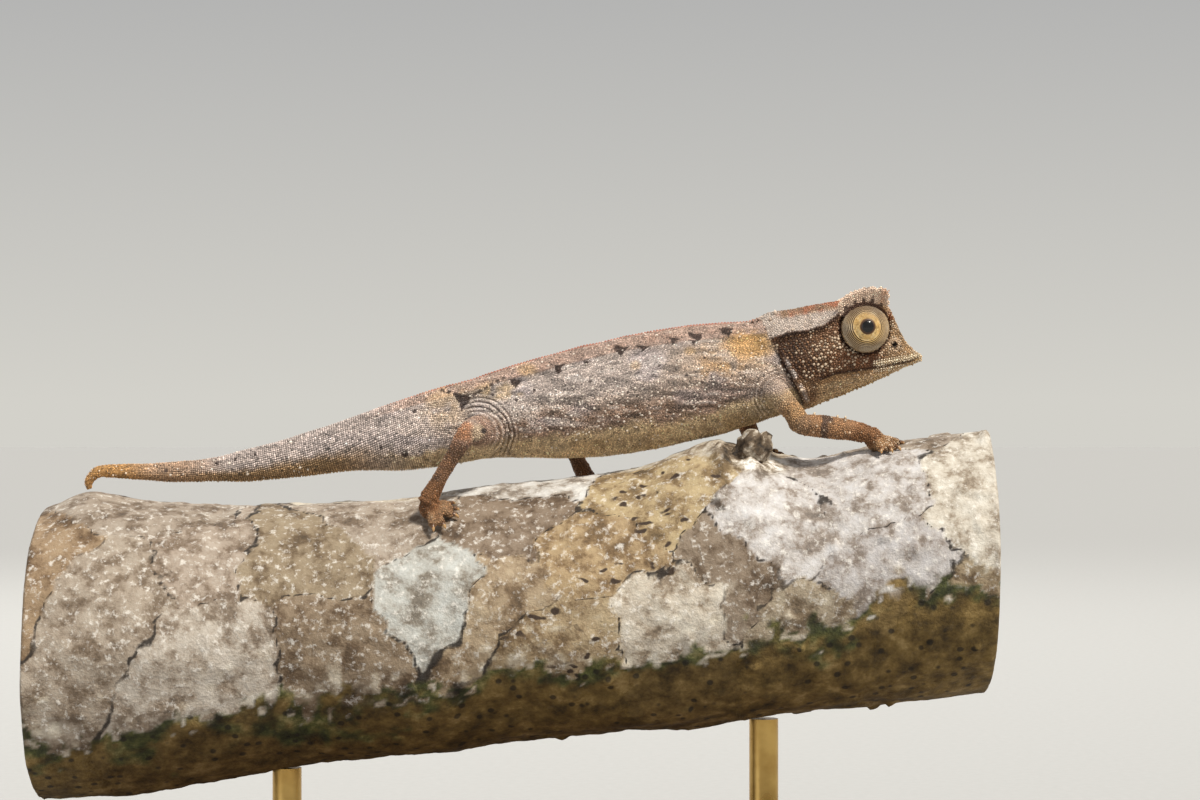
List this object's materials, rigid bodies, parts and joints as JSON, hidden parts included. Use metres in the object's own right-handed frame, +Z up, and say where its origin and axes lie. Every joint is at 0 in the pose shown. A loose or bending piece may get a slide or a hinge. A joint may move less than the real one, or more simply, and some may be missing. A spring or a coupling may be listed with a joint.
{
  "type": "brown leaf chameleon",
  "caption": "Life-size still model of a small brown leaf chameleon walking along a short cut length of lichen-covered branch, held over a flat display base by short rods.",
  "frame": {"origin": "under the middle of the display base, on the surface that it stands on", "axes": "+X towards the snout along the branch, +Y towards the animal's left side, +Z up"},
  "size_m": [0.0908, 0.046, 0.0582],
  "materials": {
    "hide": "dry granular scales",
    "cheek": "dry granular scales with pale tubercles",
    "leg": "dry granular scales",
    "eye": "fine ringed lid skin round a small wet pupil",
    "bark": "rough bark under crusty lichen",
    "walnut": "satin oiled",
    "brass": "satin"
  },
  "bodies": {
    "root": {"neck": "hide", "trunk": "hide", "jaw": "hide", "tail_base": "hide", "tail_middle": "hide", "tail_tip": "hide", "head": "cheek", "brow_right": "cheek", "brow_left": "cheek", "eye_right": "eye", "eye_left": "eye", "front_right_upper_arm": "leg", "front_right_forearm": "leg", "front_right_foot": "leg", "front_left_upper_arm": "leg", "front_left_forearm": "leg", "front_left_foot": "leg", "hind_right_thigh": "leg", "hind_right_shank": "leg", "hind_right_foot": "leg", "hind_left_thigh": "leg", "hind_left_shank": "leg", "hind_left_foot": "leg", "perch": "bark", "stand_base": "walnut", "stand_rod_front": "brass", "stand_rod_rear": "brass"}
  },
  "joints": []
}
